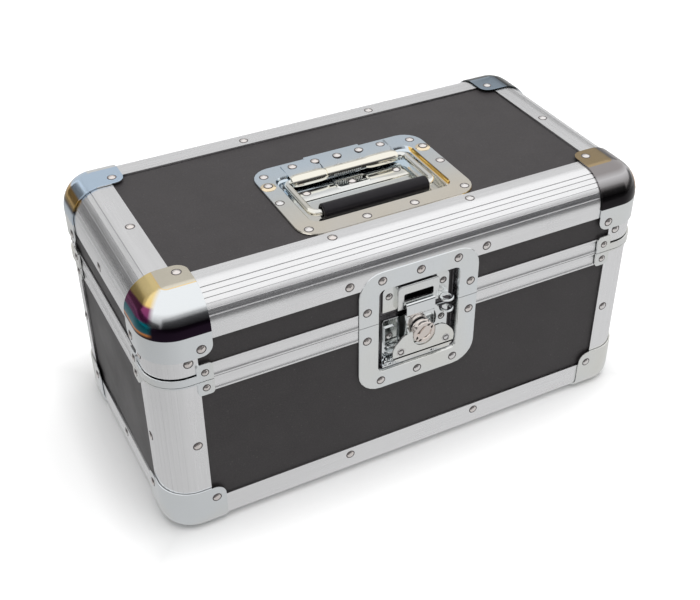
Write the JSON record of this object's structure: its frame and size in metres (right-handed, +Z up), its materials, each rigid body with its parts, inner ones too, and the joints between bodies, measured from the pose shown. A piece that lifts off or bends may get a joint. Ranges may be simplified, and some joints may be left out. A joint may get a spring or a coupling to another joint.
{
  "type": "vinyl record flight case",
  "caption": "Small flight case for seven-inch records: laminated panels in aluminium edges, ball corners, hinged lid with recessed bail handle and twist latch.",
  "frame": {"origin": "centre of the bounding box on the floor plane that the four bottom corner caps stand on", "axes": "+X along the length of the case to the right as seen from the front, -Y out of the front with the latch, +Z up"},
  "size_m": [0.4282, 0.2378, 0.2181],
  "materials": {
    "laminate": "fine textured dark laminate on plywood",
    "aluminium": "satin, finely ribbed along the extrusion",
    "zinc": "bright zinc plate with a faint tint",
    "steel": "plated steel",
    "foam": "matt soft foam",
    "rubber": "matt black rubber"
  },
  "bodies": {
    "base": {"base_back_panel": "laminate", "base_front_panel": "laminate", "base_left_panel": "laminate", "base_lining": "foam", "base_post_back_left": "aluminium", "base_post_back_right": "aluminium", "base_post_front_left": "aluminium", "base_post_front_right": "aluminium", "base_right_panel": "laminate", "base_rim_back": "aluminium", "base_rim_front": "aluminium", "base_rim_left": "aluminium", "base_rim_right": "aluminium", "bottom_cap_back_left": "zinc", "bottom_cap_back_right": "zinc", "bottom_cap_front_left": "zinc", "bottom_cap_front_right": "zinc", "bottom_edge_back": "aluminium", "bottom_edge_front": "aluminium", "bottom_edge_left": "aluminium", "bottom_edge_right": "aluminium", "bottom_panel": "laminate", "hinge_base_leaf_left": "steel", "hinge_base_leaf_right": "steel", "latch_base_dish": "zinc", "latch_mount": "zinc"},
    "lid": {"handle_dish": "zinc", "handle_spring": "steel", "hinge_lid_leaf_left": "steel", "hinge_lid_leaf_right": "steel", "latch_keeper": "zinc", "latch_lid_dish": "zinc", "lid_back_panel": "laminate", "lid_edge_back": "aluminium", "lid_edge_front": "aluminium", "lid_edge_left": "aluminium", "lid_edge_right": "aluminium", "lid_front_panel": "laminate", "lid_left_panel": "laminate", "lid_lining": "foam", "lid_post_back_left": "aluminium", "lid_post_back_right": "aluminium", "lid_post_front_left": "aluminium", "lid_post_front_right": "aluminium", "lid_right_panel": "laminate", "lid_rim_back": "aluminium", "lid_rim_front": "aluminium", "lid_rim_left": "aluminium", "lid_rim_right": "aluminium", "lid_top_panel": "laminate", "top_cap_back_left": "zinc", "top_cap_back_right": "zinc", "top_cap_front_left": "zinc", "top_cap_front_right": "zinc"},
    "handle": {"handle_bail": "zinc", "handle_grip": "rubber"},
    "latch_carrier": {"latch_carrier": "steel"},
    "latch_draw": {"latch_draw_plate": "zinc"},
    "latch_knob": {"latch_knob": "zinc"},
    "latch_wing": {"latch_wing": "zinc"}
  },
  "joints": [
    {"name": "lid_open", "type": "hinge", "parent": "base", "child": "lid", "pos_m": [0, 0.11235, 0.1465], "axis": [-1, 0, 0], "range_deg": [0, 100]},
    {"name": "handle_lift", "type": "hinge", "parent": "lid", "child": "handle", "pos_m": [-0.0018, 0.00765, 0.2113], "axis": [-1, 0, 0], "range_deg": [0, 90], "stiffness_Nm_per_rad": 0.08, "springref_deg": -28.65},
    {"name": "latch_tilt", "type": "hinge", "parent": "base", "child": "latch_carrier", "pos_m": [0.0008, -0.10785, 0.1045], "axis": [1, 0, 0], "range_deg": [0, 20]},
    {"name": "latch_slide", "type": "slide", "parent": "latch_carrier", "child": "latch_draw", "axis": [0, 0, 1], "range_m": [0, 0.005]},
    {"name": "latch_twist", "type": "hinge", "parent": "latch_carrier", "child": "latch_knob", "pos_m": [0.0008, -0.11235, 0.1315], "axis": [0, -1, 0], "range_deg": [0, 180]},
    {"name": "wing_fold", "type": "hinge", "parent": "latch_knob", "child": "latch_wing", "pos_m": [0.0008, -0.11615, 0.1315], "axis": [-1, 0, 0], "range_deg": [0, 90]}
  ],
  "couplings": [
    {"joint": "latch_twist", "follows": "latch_slide", "rad_per_m": 628.3}
  ]
}
